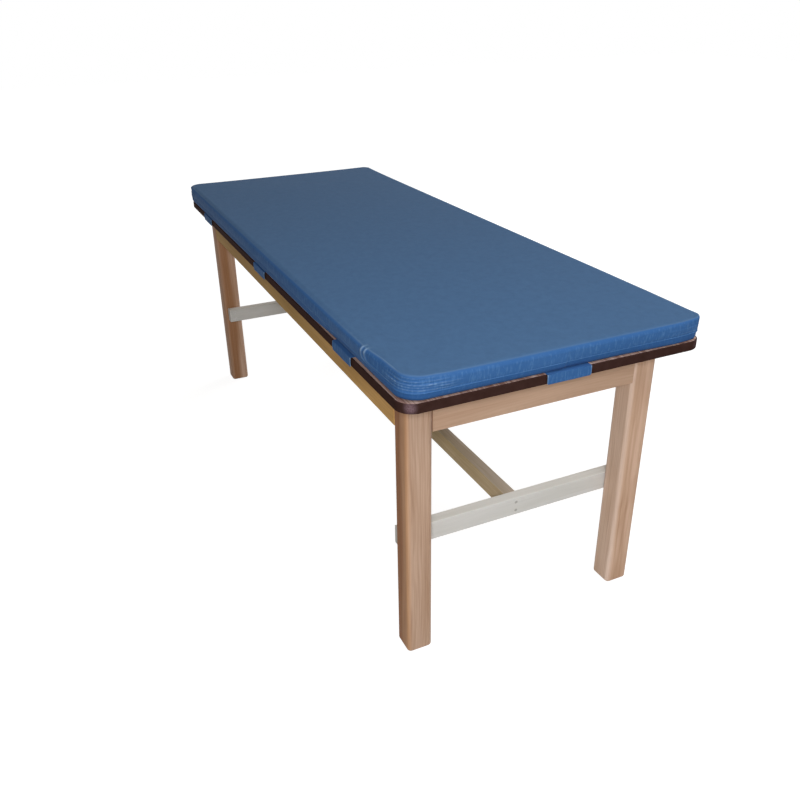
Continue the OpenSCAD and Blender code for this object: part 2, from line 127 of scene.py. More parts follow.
def coat(tree, shader, **patterns):
    """Lays patterns on the shader's sockets."""
    for socket, pattern in patterns.items():
        tree.links.new(pattern, shader.inputs[socket.replace("_", " ")])


def along_grain(tree, grain, stretch, pith=(0, 0, 0)):
    """Places from the pith, slow along the grain, so that a pattern is drawn out into streaks."""
    scale = [stretch if axis == grain else 1 for axis in "XYZ"]
    shift = [0 if axis == grain and not stretch else -value for axis, value in zip("XYZ", pith)]
    return put(tree, "Mapping", {"Vector": own_place(tree), "Location": shift, "Scale": scale}).outputs[0]


def wood(name, grain, pale, brown, streak, varnish, pith, figure=1, heart=0):
    """Planed hardwood cut beside its pith: growth rings, dark heartwood, long streaks, pores and flecks."""
    ring_spacing = 0.0052
    ring_wander = 0.045
    material, tree, shader = finish(name, Roughness=varnish, Specular_IOR_Level=0.05)
    across = along_grain(tree, grain, 0, pith)
    radius = put(tree, "VectorMath", {0: across}, operation="LENGTH").outputs["Value"]
    wander = mottling(tree, along_grain(tree, grain, 0.22, pith), 11, 2)
    radius = put(tree, "Math", {0: wander, 1: ring_wander, 2: radius}, operation="MULTIPLY_ADD").outputs[0]
    rings = put(tree, "Math", {0: times(tree, radius, math.tau / ring_spacing)}, operation="SINE").outputs[0]
    broad = mottling(tree, along_grain(tree, grain, 0.1, pith), 30, 4)
    lines = mottling(tree, along_grain(tree, grain, 0.012, pith), 260, 3, Roughness=0.6)
    pores = mottling(tree, along_grain(tree, grain, 0.02, pith), 800, 2)
    flecks = mottling(tree, along_grain(tree, grain, 0.035, pith), 30, 2, Distortion=0.4)
    heartwood = band(tree, radius, heart + 0.035, heart + 0.02)
    colour = blend_colours(tree, band(tree, broad, 0.35, 0.65), pale, brown)
    # The part of each pattern that shows, from low to high, how strong it is and its colour
    for pattern, low, high, most, darker in (
        (heartwood, 0, 1, 0.75 if heart else 0, streak),
        (rings, -0.4, 1, 0.13 * figure, brown),
        (lines, 0.48, 0.68, 0.3 * figure, brown),
        (pores, 0.56, 0.76, 0.16 * figure, streak),
        (flecks, 0.68, 0.76, 0.45 * figure, streak),
    ):
        share = times(tree, band(tree, pattern, low, high), most)
        colour = blend_colours(tree, share, colour, darker, "MULTIPLY" if darker is brown else "MIX")
    coat(tree, shader, Base_Color=colour, Roughness=between(tree, pores, varnish - 0.06, varnish + 0.1),
         Normal=embossed(tree, pores, 0.12, 0.0004))
    return material


def dress(name, material):
    """Gives a CAD node its finish."""
    nodes[name].data.materials.clear()
    nodes[name].data.materials.append(material)


def overlay(material, share, colour, way="MIX"):
    """Lays a colour over a finished wood, by a share from its tree."""
    tree = material.node_tree
    base = tree.nodes["Principled BSDF"].inputs["Base Color"]
    tree.links.new(blend_colours(tree, share, base.links[0].from_socket, colour, way), base)


def edge_highlight_share(tree, middle):
    """How strongly a post gets a painted highlight: most along its round long edges, and not at all on its
    faces.
    """
    away = put(tree, "VectorMath", {0: own_place(tree), 1: middle}, operation="SUBTRACT").outputs[0]
    away = put(tree, "VectorMath", {0: away}, operation="ABSOLUTE").outputs[0]
    away_x, away_y = axis_of(tree, away, "X"), axis_of(tree, away, "Y")
    nearest = put(tree, "Math", {0: away_x, 1: away_y}, operation="MINIMUM").outputs[0]
    return times(tree, band(tree, nearest, 0.021, 0.029), 0.2)


def right_face_light_share(tree, low):
    """1 on the right side of a post whose lowest corner is low, and 0 further in; it places the painted shade
    and light on the right faces.
    """
    return band(tree, axis_of(tree, own_place(tree), "Y"), low.y + 0.011, low.y + 0.002)


# Each post was sawn at another place beside the pith of its log: offsets from the post's middle,
# how far its dark heartwood reaches, how pale its wood is, and the tint of its right side, which is
# painted shade on the front right post and painted light on the front left one. The front right
# post's pith lies beyond its right face, so that its heartwood darkens that face, partly as painted
# shade. The round edges get a painted highlight
leg_cuts = {
    "front_right": (-0.021, -0.05, 0.023, 0.9, (0.98, 0.8, 0.6, 1)),
    "front_left": (-0.062, 0.018, 0.012, 1.1, (1.18, 1.3, 1.42, 1)),
    "rear_right": (0.02, -0.03, 0.03, 1.1, (1, 1, 1, 1)),
    "rear_left": (0.05, 0.03, 0.012, 1, (1, 1, 1, 1)),
}
leg_colours = ((0.62, 0.44, 0.335), (0.5, 0.33, 0.23), (0.3, 0.13, 0.045))
edge_highlight_colour = (0.8, 0.63, 0.55, 1)
for leg, (over_x, over_y, heart, tone, right_face_light_tint) in leg_cuts.items():
    low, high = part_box("leg_" + leg)
    middle = (low + high) / 2
    # The last value slides the streaks along the post, by another length on each side
    pith = (middle.x + over_x, middle.y + over_y, 0.3 * high.y)
    tones = [[value * tone for value in colour] + [1] for colour in leg_colours]
    leg_wood = wood(f"leg_wood_{leg}", "Z", *tones, 0.45, pith, heart=heart)
    # A painted highlight on the round edges, and the right face's painted tint of shade and light
    overlay(leg_wood, edge_highlight_share(leg_wood.node_tree, middle), edge_highlight_colour)
    overlay(leg_wood, right_face_light_share(leg_wood.node_tree, low), right_face_light_tint, "MULTIPLY")
    dress("leg_" + leg, leg_wood)


# Aprons and cross rail.
# Boards between the legs under the top, with the grain along each board, doweled to the legs. The
# cross rail is tenoned between the side aprons.

def front_light_share(tree):
    """0 behind the table's middle, rising to 1 near the front end, where the boards get painted light."""
    return band(tree, axis_of(tree, own_place(tree), "X"), 0.1, 0.95)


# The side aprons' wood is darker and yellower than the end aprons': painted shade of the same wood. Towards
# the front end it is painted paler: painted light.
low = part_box("apron_right")[0]
shaded_side_wood = wood("shaded_side_apron_wood", "X", (0.53, 0.335, 0.115, 1), (0.43, 0.26, 0.08, 1),
                 (0.24, 0.14, 0.05, 1), 0.55, (0, low.y + 0.05, low.z - 0.02), figure=0.7)
overlay(shaded_side_wood, front_light_share(shaded_side_wood.node_tree), (1.45, 1.4, 1.6, 1), "MULTIPLY")
low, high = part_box("apron_front")
end_wood = wood("end_apron_wood", "Y", (0.6, 0.42, 0.31, 1), (0.52, 0.35, 0.25, 1),
                (0.3, 0.16, 0.1, 1), 0.45, (high.x - 0.06, 0, low.z - 0.03), figure=0.5)
for name in ("apron_right", "apron_left"):
    dress(name, shaded_side_wood)
for name in ("apron_front", "apron_rear", "cross_rail"):
    dress(name, end_wood)


# Brace.
# Two pale unfinished stretchers screwed to the legs' inner faces, and one long stretcher between
# them. The aprons' dowels are of the same pale wood.

def upward_light_share(tree):
    """1 on upward faces, which get painted light from above."""
    normal = put(tree, "NewGeometry").outputs["Normal"]
    return band(tree, axis_of(tree, normal, "Z"), 0.6, 0.9)


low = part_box("stretcher_front")[0]
pale_wood = wood("pale_stretcher_wood", "Y", (0.7, 0.705, 0.705, 1), (0.64, 0.645, 0.63, 1),
                 (0.42, 0.39, 0.33, 1), 0.6, (low.x - 0.04, 0, low.z), figure=0.35)
long_wood = wood("long_stretcher_wood", "X", (0.63, 0.51, 0.34, 1), (0.51, 0.4, 0.235, 1),
                 (0.3, 0.21, 0.11, 1), 0.55, (0, 0.05, low.z - 0.03), figure=0.8)
# Painted light from above: the end stretchers' upward faces paler, the long stretcher's cooler
overlay(pale_wood, upward_light_share(pale_wood.node_tree), (1.2, 1.19, 1.14, 1), "MULTIPLY")
overlay(long_wood, upward_light_share(long_wood.node_tree), (0.88, 0.94, 1.17, 1), "MULTIPLY")
for name in ("stretcher_front", "stretcher_rear", "apron_dowels"):
    dress(name, pale_wood)
dress("stretcher_long", long_wood)


# Fastenings.
# Zinc plated screws in the brace, the blocks and the top, brackets under the top, and hanger bolts
# with washers and nuts that pull the legs to their corner blocks.

zinc, tree, shader = finish("zinc_plate", Metallic=1.0, Roughness=0.32)
spots = mottling(tree, own_place(tree), 900, 3)
colour = blend_colours(tree, band(tree, spots, 0.35, 0.7), (0.46, 0.46, 0.45, 1), (0.32, 0.31, 0.28, 1))
coat(tree, shader, Base_Color=colour, Roughness=between(tree, spots, 0.25, 0.45))
for name in ("hanger_bolts", "hanger_washers", "hanger_nuts", "top_brackets"):
    dress(name, zinc)
block_wood = wood("corner_block_wood", "Z", (0.5, 0.36, 0.22, 1), (0.42, 0.28, 0.16, 1),
                  (0.22, 0.11, 0.05, 1), 0.6, (0, 0, 0))
for end in ("front", "rear"):
    for side in ("right", "left"):
        dress(f"corner_block_{end}_{side}", block_wood)


def soften(obj, width, segments=2):
    """Rounds the sharp edges of a piece."""
    bpy.ops.object.select_all(action="DESELECT")
    obj.select_set(True)
    bpy.context.view_layer.objects.active = obj
    bevel = obj.modifiers.new("soft_edges", "BEVEL")
    bevel.width = width
    bevel.segments = segments
    bevel.limit_method = "ANGLE"
    bevel.angle_limit = math.radians(50)
    bpy.ops.object.modifier_apply(modifier=bevel.name)
    bpy.ops.object.shade_smooth_by_angle(angle=math.radians(40))


def placed_copy(master, name, frame_matrix):
    """A copy of a piece with its own mesh, moved to its place."""
    piece = master.copy()
    piece.data = master.data.copy()
    piece.name = name
    bpy.context.collection.objects.link(piece)
    piece.data.transform(frame_matrix)
    return piece


def joined(pieces, name):
    """One object out of several."""
    bpy.ops.object.select_all(action="DESELECT")
    for piece in pieces:
        piece.select_set(True)
    bpy.context.view_layer.objects.active = pieces[0]
    bpy.ops.object.join()
    pieces[0].name = name
    return pieces[0]


def pick_faces(obj, wanted):
    """Selects, in edit mode, the faces whose middle and normal are wanted."""
    shape = bmesh.from_edit_mesh(obj.data)
    for face in shape.faces:
        face.select_set(wanted(face.calc_center_median(), face.normal))
    bmesh.update_edit_mesh(obj.data)


def screw_places(node):
    """Each screw's frame, its head at the origin and its tip down -Z, with its length and radii."""
    shape = bmesh.new()
    shape.from_mesh(nodes[node].data)
    bmesh.ops.remove_doubles(shape, verts=shape.verts, dist=0.00001)
    left = dict.fromkeys(shape.verts)
    places = []
    while left:
        piece = [left.popitem()[0]]
        for vert in piece:
            for edge in vert.link_edges:
                other = edge.other_vert(vert)
                if other in left:
                    del left[other]
                    piece.append(other)
        points = np.array([vert.co for vert in piece])
        middle = (points.min(axis=0) + points.max(axis=0)) / 2
        axis = np.linalg.svd(points - points.mean(axis=0))[2][0]
        along = (points - middle) @ axis
        spread = np.linalg.norm(points - middle - np.outer(along, axis), axis=1)
        if along[spread.argmax()] < 0:
            axis, along = -axis, -along
        head = spread.max()
        shank = spread[along < along.min() + 0.001].max()
        head_height = along.max() - along[spread < (head + shank) / 2].max()
        turn = Vector(axis).to_track_quat("Z", "Y").to_matrix().to_4x4()
        place = Matrix.Translation(Vector(middle + axis * along.max())) @ turn
        places.append((place, along.max() - along.min(), head, shank, head_height))
    shape.free()
    return places


def cross_screw(name, length, head, shank, head_height, flat):
    """A wood screw with a cross recess; flat is a countersunk head, and otherwise the head is a pan."""
    if flat:
        outline = [(0, 0), (head * 0.6, 0), (head * 0.97, 0), (head, -0.0003), (shank, -head_height)]
    else:
        outline = [(0, 0), (head * 0.55, -0.04 * head_height), (head * 0.86, -0.28 * head_height),
                   (head, -0.65 * head_height), (head, -head_height), (shank, -head_height)]
    # The thread starts below a plain shank, and stops before the tip
    pitch, root = 0.002, shank * 0.72
    fall = head_height + 0.3 * (length - head_height)
    outline.append((shank, -fall))
    while fall < length - 0.005:
        outline += [(root, -fall - 0.3 * pitch), (shank, -fall - 0.7 * pitch), (root, -fall - pitch)]
        fall += pitch
    outline += [(shank * 0.6, -length + 0.003), (0, -length)]
    bpy.ops.object.select_all(action="DESELECT")
    bpy.ops.mesh.primitive_circle_add(vertices=3)
    screw = bpy.context.object
    screw.name = name
    screw.data.clear_geometry()
    lines = [(number, number + 1) for number in range(len(outline) - 1)]
    screw.data.from_pydata([(radius, 0, z) for radius, z in outline], lines, [])
    bpy.ops.object.mode_set(mode="EDIT")
    bpy.ops.mesh.select_all(action="SELECT")
    bpy.ops.mesh.spin(steps=20, angle=math.tau, center=(0, 0, 0), axis=(0, 0, 1))
    bpy.ops.mesh.select_all(action="SELECT")
    bpy.ops.mesh.remove_doubles(threshold=0.000005)
    bpy.ops.mesh.normals_make_consistent(inside=False)
    bpy.ops.object.mode_set(mode="OBJECT")
    for turn in (0, 90):
        bpy.ops.mesh.primitive_cube_add(size=1)
        cutter = bpy.context.object
        cutter.scale = (head * 1.25, head * 0.26, head * 0.9)
        cutter.rotation_euler.z = math.radians(turn + 20)
        bpy.ops.object.transform_apply()
        bpy.ops.object.mode_set(mode="EDIT")
        pick_faces(cutter, lambda at, normal: normal.z < -0.5)
        bpy.ops.transform.resize(value=(0.35, 0.35, 1))
        bpy.ops.object.mode_set(mode="OBJECT")
        recess = screw.modifiers.new("recess", "BOOLEAN")
        recess.object = cutter
        bpy.context.view_layer.objects.active = screw
        bpy.ops.object.modifier_apply(modifier=recess.name)
        bpy.data.objects.remove(cutter)
    bpy.ops.object.select_all(action="DESELECT")
    screw.select_set(True)
    bpy.ops.object.shade_smooth_by_angle(angle=math.radians(35))
    screw.data.materials.clear()
    screw.data.materials.append(zinc)
    return screw


for node, flat in (("brace_screws", True), ("stretcher_leg_screws", True),
                   ("corner_block_screws", False), ("top_bracket_screws", False)):
    places = screw_places(node)
    screw = cross_screw("screw", *places[0][1:], flat)
    screws = joined([placed_copy(screw, "one", place) for place, *_ in places], node + "_crossed")
    bpy.data.objects.remove(screw)
    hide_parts(node)
    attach(screws, "table")


# Top.
# A particle board core with a wood-grain laminate sheet above and a plain brown backer sheet below.

core, tree, shader = finish("particle_board", Roughness=0.8)
chips = put(tree, "TexVoronoi", {"Vector": own_place(tree), "Scale": 420}).outputs["Color"]
chips = put(tree, "RGBToBW", {"Color": chips}).outputs[0]
colour = blend_colours(tree, chips, (0.5, 0.36, 0.2, 1), (0.34, 0.22, 0.11, 1))
coat(tree, shader, Base_Color=colour, Normal=embossed(tree, chips, 0.3, 0.0005))
dress("top_core", core)

backer, tree, shader = finish("backer_sheet", Roughness=0.6)
fibres = mottling(tree, own_place(tree), 90, 5)
colour = blend_colours(tree, band(tree, fibres, 0.3, 0.7), (0.26, 0.17, 0.1, 1), (0.2, 0.125, 0.07, 1))
coat(tree, shader, Base_Color=colour, Normal=embossed(tree, fibres, 0.1, 0.0003))
dress("top_backer", backer)

laminate, tree, shader = finish("woodgrain_laminate", Roughness=0.45, Specular_IOR_Level=0.03)
lines = mottling(tree, along_grain(tree, "X", 0.02), 130, 3, Roughness=0.6)
fine = mottling(tree, along_grain(tree, "X", 0.01), 600, 2)
colour = blend_colours(tree, band(tree, lines, 0.4, 0.6), (0.29, 0.16, 0.135, 1), (0.62, 0.44, 0.37, 1))
fine_share = times(tree, band(tree, fine, 0.5, 0.7), 0.25)
colour = blend_colours(tree, fine_share, colour, (0.1, 0.03, 0.02, 1))
coat(tree, shader, Base_Color=colour, Normal=embossed(tree, fine, 0.08, 0.0002))
dress("top_laminate", laminate)


# Edge moulding.
# Dark brown plastic with round edges, pressed into the core's edge by its tongue.

moulding, tree, shader = finish("moulding_plastic", Roughness=0.6, Specular_IOR_Level=0.005)
place = own_place(tree)
haze = mottling(tree, place, 45, 4)
colour = blend_colours(tree, band(tree, haze, 0.3, 0.7), (0.036, 0.017, 0.014, 1), (0.046, 0.023, 0.02, 1))
# The corners get a painted highlight, broken into spots, those of the right side most
low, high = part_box("edge_moulding")
highlight_place = (high.x - 0.0055, high.y - 0.02, (low.z + high.z) / 2 + 0.002)
mirrored = put(tree, "VectorMath", {0: place}, operation="ABSOLUTE").outputs[0]
away = put(tree, "VectorMath", {0: mirrored, 1: highlight_place}, operation="DISTANCE").outputs["Value"]
corner_highlight = put(tree, "MapRange", {"Value": away, "From Min": 0.019, "From Max": 0.002},
             interpolation_type="SMOOTHSTEP").outputs[0]
highlight_spots = band(tree, mottling(tree, place, 380, 3), 0.1, 0.58)
left_share = between(tree, band(tree, axis_of(tree, place, "Y"), -0.2, 0.1), 1, 0.3)
corner_highlight = times(tree, times(tree, corner_highlight, highlight_spots), left_share)
colour = blend_colours(tree, corner_highlight, colour, (0.18, 0.115, 0.135, 1))
grit = mottling(tree, place, 1400, 2)
coat(tree, shader, Base_Color=colour, Roughness=between(tree, haze, 0.55, 0.68),
     Normal=embossed(tree, grit, 0.08, 0.0002))
dress("edge_moulding", moulding)


# Mat.
# A slab of foam in a sewn blue vinyl cover: a nearly flat top, upright sides above a welted seam, a
# skirt that draws in below it, painted darker as shade, and folds where the cover turns the corners.
# It lies loose.

def vinyl(name, blue, wear, rough, upward_sheen=None, shade_below=None):
    """Coated upholstery vinyl with a fine grain; if given, upward faces get a greyer colour as a painted
    sheen, and the cover below a height is darkened as painted shade.
    """
    material, tree, shader = finish(name, Roughness=rough, Specular_IOR_Level=0.006, Sheen_Weight=0.05,
                                    Sheen_Roughness=0.4, Sheen_Tint=(0.8, 0.9, 1, 1))
    place = own_place(tree)
    cloud = mottling(tree, place, 5, 4)
    colour = blend_colours(tree, band(tree, cloud, 0.35, 0.65), blue, wear)
    turn = axis_of(tree, put(tree, "NewGeometry").outputs["Normal"], "Z")
    if upward_sheen is not None:
        # A painted sheen: upward faces greyer, mottled
        sheen_mottle = mottling(tree, place, 60, 5, Roughness=0.6)
        sheen_colour = blend_colours(tree, band(tree, sheen_mottle, 0.3, 0.7), upward_sheen, [value * 1.12 for value in upward_sheen])
        colour = blend_colours(tree, band(tree, turn, 0.7, 0.96), colour, sheen_colour)
    # Pale crazing where the coating has been stretched over folds
    upright = put(tree, "Math", {0: turn}, operation="ABSOLUTE").outputs[0]
    upright = band(tree, upright, 0.75, 0.35)
    craze = put(tree, "Mapping", {"Vector": place, "Scale": (1, 1, 0.25)}).outputs[0]
    craze = mottling(tree, craze, 210, 3, Roughness=0.6)
    craze_share = times(tree, times(tree, band(tree, craze, 0.5, 0.72), upright), 0.33)
    colour = blend_colours(tree, craze_share, colour, (0.13, 0.29, 0.54, 1))
    # Folds, turned edges and the rim get painted highlights: pale colour where the stretch attribute says
    painted_highlight = put(tree, "Attribute", attribute_name="stretch").outputs["Fac"]
    colour = blend_colours(tree, painted_highlight, colour, (0.34, 0.5, 0.7, 1))
    if shade_below is not None:
        # Below the seam the cover is darkened: painted shade under the drawn-in skirt
        low = put(tree, "Math", {0: axis_of(tree, place, "Z"), 1: shade_below}, operation="LESS_THAN").outputs[0]
        colour = blend_colours(tree, times(tree, low, 0.45), colour, (0.022, 0.085, 0.27, 1))
    grain = put(tree, "TexVoronoi", {"Vector": place, "Scale": 950}, feature="SMOOTH_F1").outputs["Distance"]
    heights = put(tree, "Math", {0: grain, 1: mottling(tree, place, 260, 3)}, operation="ADD").outputs[0]
    crinkled = embossed(tree, times(tree, craze, upright), 0.3, 0.0025)
    coat(tree, shader, Base_Color=colour, Normal=embossed(tree, heights, 0.16, 0.0003, Normal=crinkled))
    return material


mat_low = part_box("mat_base")[0]
mat_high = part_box("mat_cover")[1]
mat_middle = (mat_low + mat_high) / 2
mat_length = mat_high.x - mat_low.x
mat_width = mat_high.y - mat_low.y
# Corner radii of the worn cover, by end (front is 1) and side (left is 1)
mat_corners = {(1, -1): 0.05, (1, 1): 0.024, (-1, -1): 0.046, (-1, 1): 0.026}
rim_height = 0.054
crown = mat_high.z - mat_low.z - rim_height
seam_height = 0.0185
# Heights up the side, and how far the side is drawn in there
side_heights = [0, 0.0028, 0.0076, 0.0141, 0.0185, 0.0217, 0.0323, 0.0433, 0.0507, 0.0528, 0.054]
end_insets = [0.012, 0.0085, 0.0056, 0.0042, 0.0019, 0.0031, 0.0011, 0, 0, 0.0008, 0.0035]
side_insets = [0.0085, 0.0062, 0.0045, 0.0036, 0.0017, 0.0029, 0.0011, 0, 0, 0.0008, 0.0035]
# The row of faces round the edge that gets a finer mesh, and how far in the rim's rounding fades
edge_row = 0.024
rim_fade = 0.036
mat_vinyl = vinyl("mat_vinyl", (0.038, 0.122, 0.325, 1), (0.045, 0.132, 0.335, 1), 0.5,
                  (0.064, 0.137, 0.265, 1), mat_low.z + seam_height)


def past_corner(x, y):
    """The radius of the nearest corner, and how far a point of the plan lies past its centre, each way."""
    radius = mat_corners[(1 if x > 0 else -1, 1 if y > 0 else -1)]
    return radius, abs(x) - (mat_length / 2 - radius), abs(y) - (mat_width / 2 - radius)


def edge_depth(x, y):
    """How far a point of the mat's plan lies inside its outline."""
    radius, over_x, over_y = past_corner(x, y)
    if over_x > 0 and over_y > 0:
        return radius - math.hypot(over_x, over_y)
    return min(mat_length / 2 - abs(x), mat_width / 2 - abs(y))


def outward(x, y):
    """The direction away from the mat's middle, square to its outline."""
    over_x, over_y = past_corner(x, y)[1:]
    if over_x > 0 and over_y > 0:
        return Vector((math.copysign(over_x, x), math.copysign(over_y, y), 0)).normalized()
    if mat_length / 2 - abs(x) < mat_width / 2 - abs(y):
        return Vector((math.copysign(1, x), 0, 0))
    return Vector((0, math.copysign(1, y), 0))


def ease(low, high, value):
    """0 below low, 1 above high, and smooth between them."""
    share = min(1, max(0, (value - low) / (high - low)))
    return share * share * (3 - 2 * share)


bpy.ops.mesh.primitive_grid_add(x_subdivisions=84, y_subdivisions=32, size=1)
mat = bpy.context.object
mat.name = "mat"
mat.scale = (mat_length, mat_width, 1)
bpy.ops.object.transform_apply(scale=True)
bpy.ops.object.mode_set(mode="EDIT")
bpy.ops.mesh.select_all(action="SELECT")
bpy.ops.mesh.extrude_region_move(TRANSFORM_OT_translate={"value": (0, 0, rim_height)})
bpy.ops.mesh.select_all(action="DESELECT")
shape = bmesh.from_edit_mesh(mat.data)
for edge in shape.edges:
    edge.select_set(abs(edge.verts[0].co.z - edge.verts[1].co.z) > rim_height / 2)
bpy.ops.mesh.subdivide(number_cuts=3)
pick_faces(mat, lambda at, normal: min(mat_length / 2 - abs(at.x), mat_width / 2 - abs(at.y)) < edge_row)
bpy.ops.mesh.subdivide(number_cuts=3)
shape = bmesh.from_edit_mesh(mat.data)
for vert in shape.verts:
    radius, over_x, over_y = past_corner(vert.co.x, vert.co.y)
    if over_x > 0 and over_y > 0:
        reach = max(over_x, over_y)
        turn = math.pi / 4 * min(over_x, over_y) / reach
        if over_y > over_x:
            turn = math.pi / 2 - turn
        vert.co.x = math.copysign(mat_length / 2 - radius + reach * math.cos(turn), vert.co.x)
        vert.co.y = math.copysign(mat_width / 2 - radius + reach * math.sin(turn), vert.co.y)
bmesh.update_edit_mesh(mat.data)
bpy.ops.object.mode_set(mode="OBJECT")

# Where the simulation holds the cover still, and where it lets it go
held = mat.vertex_groups.new(name="held")
loose = mat.vertex_groups.new(name="loose")
for vert in mat.data.vertices:
    x, y, z = vert.co
    depth = edge_depth(x, y)
    # The wall has sixteen rows of faces, and the seam lies on top of the sixth
    z = float(np.interp(z, [0, rim_height * 6 / 16, rim_height], [0, seam_height, rim_height]))
    if z < 0.0001:
        share = 1 - ease(0, rim_fade, depth)
        inset_x, inset_y = end_insets[0] * share, side_insets[0] * share
        hold = 1
    elif z > rim_height - 0.0001:
        inset_x = inset_y = side_insets[-1] * max(0, 1 - depth / rim_fade)
        z = rim_height + crown * (1 - (1 - min(1, 2 * depth / mat_width)) ** 2)
        hold = ease(0, edge_row * 1.3, depth)
    else:
        inset_x = float(np.interp(z, side_heights, end_insets))
        inset_y = float(np.interp(z, side_heights, side_insets))
        hold = max(1 - ease(0, 0.011, z), 1 - ease(0, 0.003, abs(z - seam_height)))
    if x > 0 and y > 0:
        # The front left corner is hardly drawn in
        inset_x *= 1 - 0.55 * ease(0.12, 0.34, y)
        inset_y *= 1 - 0.7 * ease(0.75, 0.93, x)
    if y < 0:
        # Towards the rear it hangs over the top's edge, 7.5 mm at most
        hang = 0.0075 * (1 - ease(0.45, 0.65, x)) * ease(-0.004, 0.004, z) * (1 - ease(0.022, 0.042, z))
        inset_y = max(min(inset_y, -0.0005), inset_y - hang)
    vert.co = Vector((x * (1 - 2 * inset_x / mat_length), y * (1 - 2 * inset_y / mat_width), z))
    vert.co += Vector((mat_middle.x, mat_middle.y, mat_low.z))
    held.add([vert.index], hold, "REPLACE")
    loose.add([vert.index], 1 - hold, "REPLACE")

# Air presses the walls out a little. The cover is held flat above and below, and at its seam
before = [vert.co.copy() for vert in mat.data.vertices]
cloth = mat.modifiers.new("cover_air", "CLOTH")
cover = cloth.settings
cover.quality = 5
cover.mass = 0.3
cover.tension_stiffness = cover.compression_stiffness = 20
cover.shear_stiffness = 8
cover.bending_stiffness = 0.3
cover.vertex_group_mass = "held"
cover.vertex_group_shrink = "loose"
cover.shrink_max = -0.03
cover.use_pressure = True
cover.uniform_pressure_force = 3
cover.effector_weights.gravity = 0
last_step = 20
for step in range(1, last_step + 1):
    bpy.context.scene.frame_set(step)
bpy.context.view_layer.objects.active = mat
bpy.ops.object.modifier_apply(modifier=cloth.name)
most_air = 0.0025
for vert, start in zip(mat.data.vertices, before):
    move = vert.co - start
    if move.length > most_air:
        vert.co = start + move * (most_air / move.length)
bpy.context.scene.frame_set(1)

bpy.ops.object.mode_set(mode="EDIT")
pick_faces(mat, lambda at, normal: at.z > mat_low.z + 0.001
           and edge_depth(at.x - mat_middle.x, at.y - mat_middle.y) < edge_row * 0.8)
bpy.ops.mesh.subdivide(number_cuts=1, smoothness=0.35)
# The front right corner is folded most, and gets a finer mesh
pick_faces(mat, lambda at, normal: at.z > mat_low.z + seam_height and at.x > 0.77 and at.y < -0.25
           and edge_depth(at.x - mat_middle.x, at.y - mat_middle.y) < 0.009)
bpy.ops.mesh.subdivide(number_cuts=1)
bpy.ops.object.mode_set(mode="OBJECT")

# Rolls run round the corner, one above the other; on the right side they turn up to the rim like
# nested hooks. Their distances below the rim, and how far each stands out, as a share of fold_rise
fold_depths = [0.0055, 0.0125, 0.0195, 0.0245, 0.0305, 0.0362]
fold_swells = [0.25, 0.5, 0.85, 0.7, 1, 1]
fold_half = 0.0024
fold_rise = 0.0022
rib_rise = 0.00045
# From where behind the front end a roll turns up, and how far it takes
hook_from = 0.105
hook_reach = 0.0955


def waver(x, y, z, fine, fine_z, seed=(0, 0, 0)):
    """A smooth irregular value round 0: fine is how many waves there are to a metre, seed another start."""
    return noise.noise(Vector((x * fine + seed[0], y * fine + seed[1], z * fine_z + seed[2])))


def roll_reach(number, x, y, over_x, over_y, along, on_right_side):
    """How much of a roll's height is left at a place of the plan, away from its corner."""
    if on_right_side:
        last = 0.11 + 0.6 * fold_depths[number]
        reach = 1 - ease(last - 0.05, last, along)
    else:
        last = 0.03 + 0.04 * noise.noise(Vector((number * 1.7, 3.3, 0)))
        reach = 1 - ease(last, last + 0.05, max(-over_y, -over_x if y > 0 or x < 0 else 0))
    broken = ease(-0.2, 0.25, waver(x, y, 0, 26, 0, (number * 7, 0, number * 3.1)))
    return reach * (0.55 + 0.45 * broken)


def rolls_at(x, y, z):
    """How far the rolls stand out there, and how strong the painted highlight on their crests is, both 0 to
    1.
    """
    over_x, over_y = past_corner(x, y)[1:]
    along = mat_length / 2 - x
    drop = rim_height - z + 0.0016 * waver(x, y, z, 12, 45) + 0.0006 * waver(x, y, z, 55, 90)
    on_right_side = x > 0 and y < 0 and over_x < 0
    if on_right_side and along > hook_from:
        # Squarer than a circle: straight down from the rim, a short bend, then along the side
        bend = max(0, along - hook_from - 0.3 * drop) / hook_reach * fold_depths[-1]
        drop = (abs(drop) ** 4 + bend ** 4) ** 0.25
    near_corner = 1 - ease(0, 0.07, max(-over_x, -over_y))
    fold = pale = 0
    for number, (fold_depth, swell) in enumerate(zip(fold_depths, fold_swells)):
        height = math.exp(-abs((drop - fold_depth) / fold_half) ** 2.5)
        crest = math.exp(-((drop - fold_depth + 0.0007) / 0.0011) ** 2)
        reach = roll_reach(number, x, y, over_x, over_y, along, on_right_side)
        if on_right_side and number > 3:
            # The two lowest rolls reach furthest, and their hooks get the strongest painted highlight near
            # the rim
            hook = 1 - ease(0.21, 0.215, along)
            reach = max(reach, hook * (0.75 if number == 4 else ease(0.13, 0.17, along)))
            risen = ease(0.15, 0.17, along) * (0.35 + 0.65 * ease(0.034, 0.046, z))
            pale = max(pale, 0.8 * crest * hook * risen)
        fold = max(fold, height * reach * swell)
        dashes = ease(0, 0.35, waver(x, y, 0, 170, 0, (number * 5, 0, number * 2.3)))
        pale = max(pale, crest * reach * swell * (0.24 + 0.42 * dashes * near_corner))
    if not (x > 0 and y < 0):
        # The other corners are folded less
        return fold * 0.55, pale * 0.4
    return fold, pale


def ribs_at(x, y, z):
    """How far the fine upright ribs stand out there; they are in patches, and strongest at the ends."""
    ribs = waver(x, y, z, 95, 14) + 0.6 * waver(x, y, z, 190, 30, (5, 0, 0))
    at_end = ease(mat_length / 2 - 0.02, mat_length / 2 - 0.008, abs(x))
    patches = ease(-0.1, 0.45, waver(x, y, 0, 5, 0, (0, 0, 8.1)))
    return ribs * ease(0.022, 0.036, z) * (0.25 + 0.75 * at_end) * (0.35 + 0.65 * patches)
